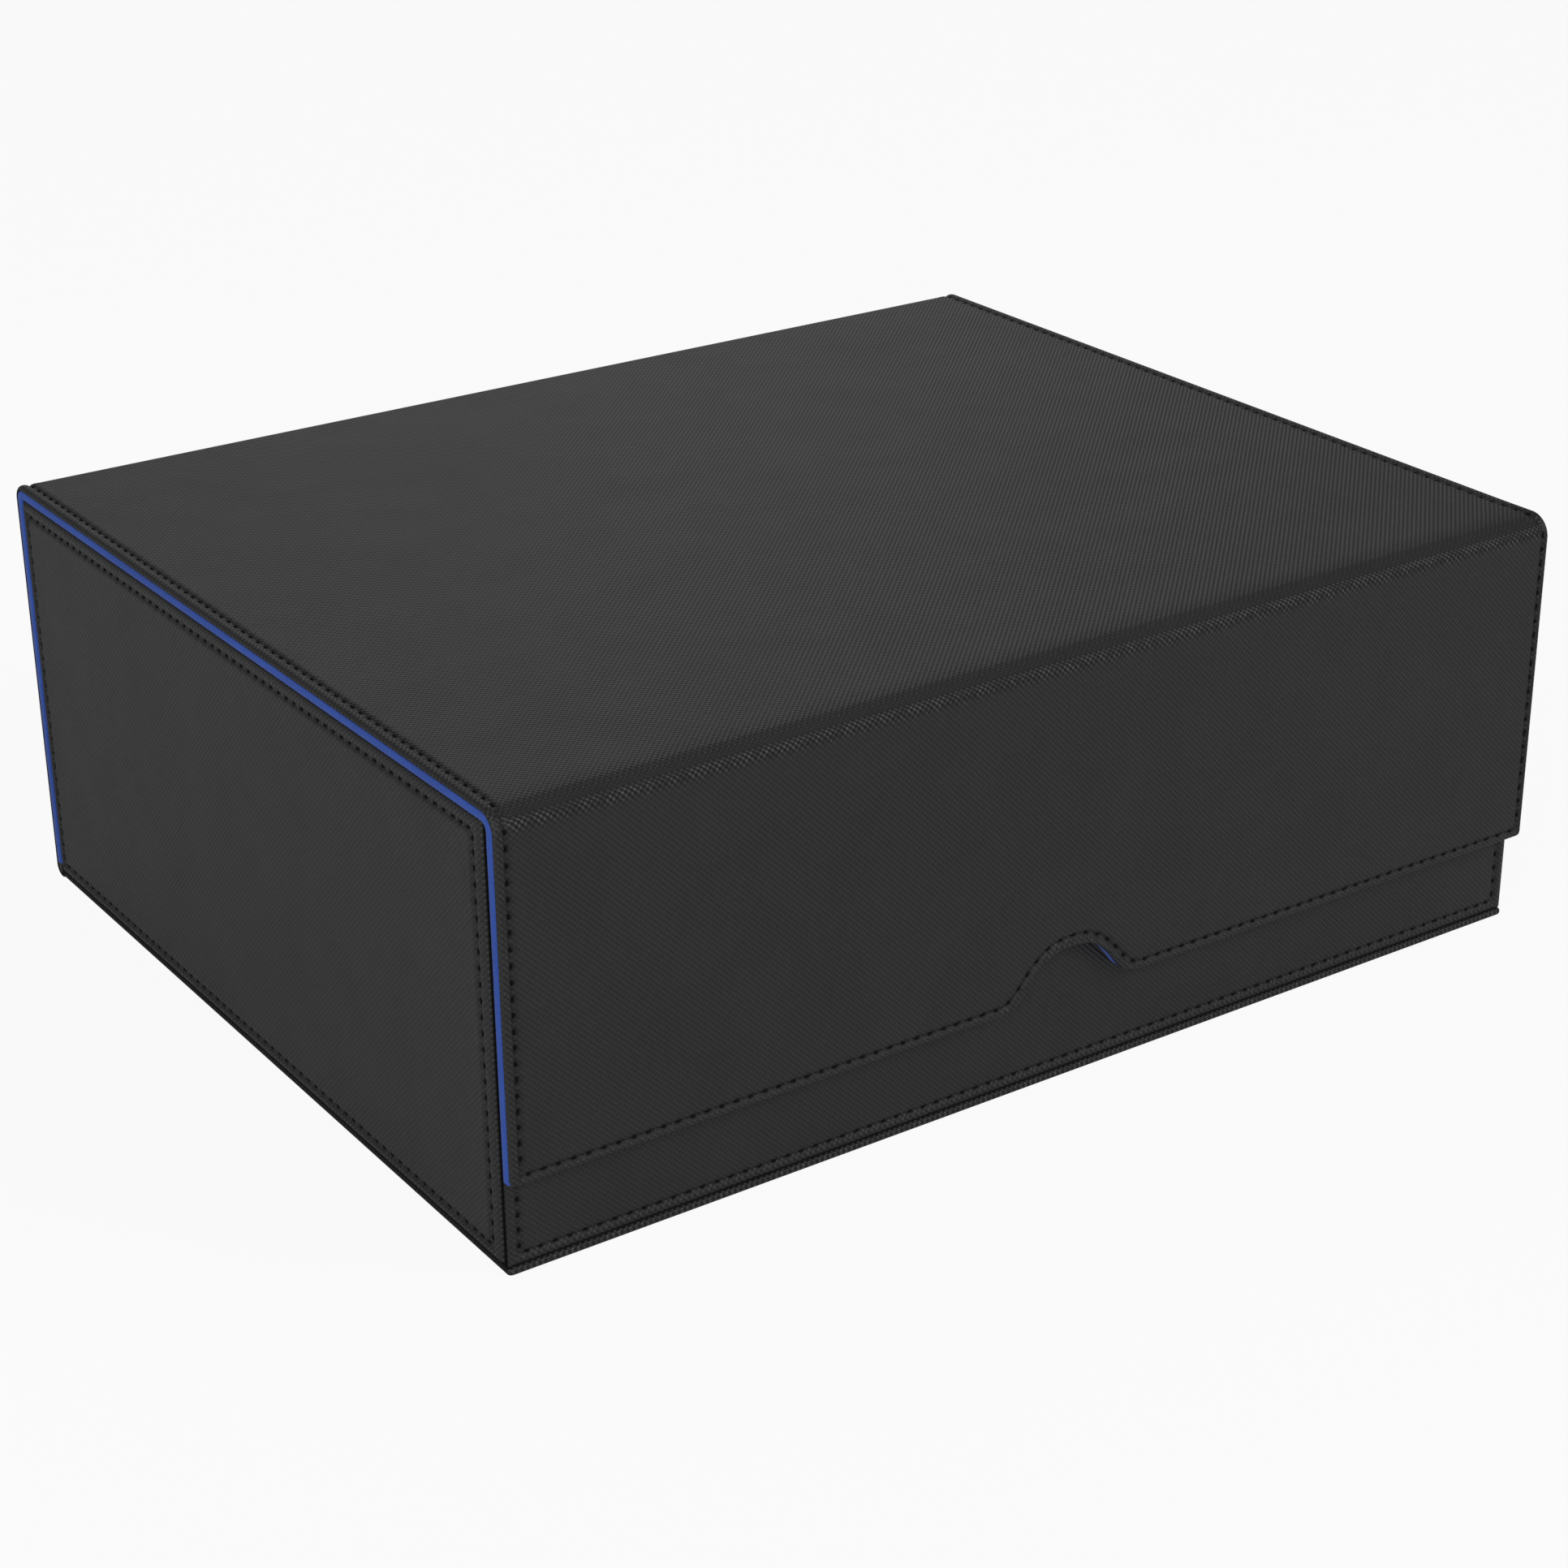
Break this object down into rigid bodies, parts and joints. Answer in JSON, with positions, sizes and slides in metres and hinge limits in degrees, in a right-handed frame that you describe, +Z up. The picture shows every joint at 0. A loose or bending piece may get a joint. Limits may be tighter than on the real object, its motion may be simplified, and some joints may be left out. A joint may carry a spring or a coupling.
{
  "type": "card storage box",
  "caption": "Lined card storage box with a wrap-round hinged lid, a magnetic front flap with a thumb notch, and sliding card dividers.",
  "frame": {"origin": "middle of the box's underside, on the surface it stands on", "axes": "+X along the box's width to the right as seen from the front, +Y from the front flap to the back, +Z up"},
  "size_m": [0.302, 0.248, 0.112],
  "materials": {
    "embossed_leather": "black synthetic leather with a fine diagonal woven emboss, matte, stitched along its edges",
    "microfibre": "blue short-pile microfibre",
    "greyboard": "grey board, hidden",
    "magnet": "plated disc magnet, hidden"
  },
  "bodies": {
    "tray": {"base_skin": "embossed_leather", "base_board": "greyboard", "floor_board": "greyboard", "floor_lining": "microfibre", "right_wall_board": "greyboard", "left_wall_board": "greyboard", "right_wall_lining": "microfibre", "left_wall_lining": "microfibre", "right_wall_skin": "embossed_leather", "left_wall_skin": "embossed_leather", "front_wall_board": "greyboard", "front_wall_lining": "microfibre", "front_wall_skin": "embossed_leather", "front_wall_magnets": "magnet", "rear_wall_board": "greyboard", "rear_wall_lining": "microfibre", "partition_1_board": "greyboard", "partition_1_lining": "microfibre", "partition_2_board": "greyboard", "partition_2_lining": "microfibre", "partition_3_board": "greyboard", "partition_3_lining": "microfibre", "back_panel_skin": "embossed_leather", "back_panel_board": "greyboard", "back_panel_lining": "microfibre"},
    "lid": {"lid_skin": "embossed_leather", "lid_board": "greyboard", "lid_lining": "microfibre"},
    "flap": {"flap_skin": "embossed_leather", "flap_board": "greyboard", "flap_lining": "microfibre", "flap_magnets": "magnet"},
    "divider_1": {"card_divider_1": "microfibre"},
    "divider_2": {"card_divider_2": "microfibre"},
    "divider_3": {"card_divider_3": "microfibre"},
    "divider_4": {"card_divider_4": "microfibre"}
  },
  "joints": [
    {"name": "lid_hinge", "type": "hinge", "parent": "tray", "child": "lid", "pos_m": [0, 0.12236, 0.11036], "axis": [-1, 0, 0], "range_deg": [0, 180]},
    {"name": "flap_hinge", "type": "hinge", "parent": "lid", "child": "flap", "pos_m": [0, -0.12203, 0.11003], "axis": [-1, 0, 0], "range_deg": [0, 180]},
    {"name": "divider_1_slide", "type": "slide", "parent": "tray", "child": "divider_1", "axis": [0, 1, 0], "range_m": [0, 0.2302]},
    {"name": "divider_2_slide", "type": "slide", "parent": "tray", "child": "divider_2", "axis": [0, 1, 0], "range_m": [0, 0.2302]},
    {"name": "divider_3_slide", "type": "slide", "parent": "tray", "child": "divider_3", "axis": [0, 1, 0], "range_m": [0, 0.2302]},
    {"name": "divider_4_slide", "type": "slide", "parent": "tray", "child": "divider_4", "axis": [0, 1, 0], "range_m": [0, 0.2302]}
  ]
}
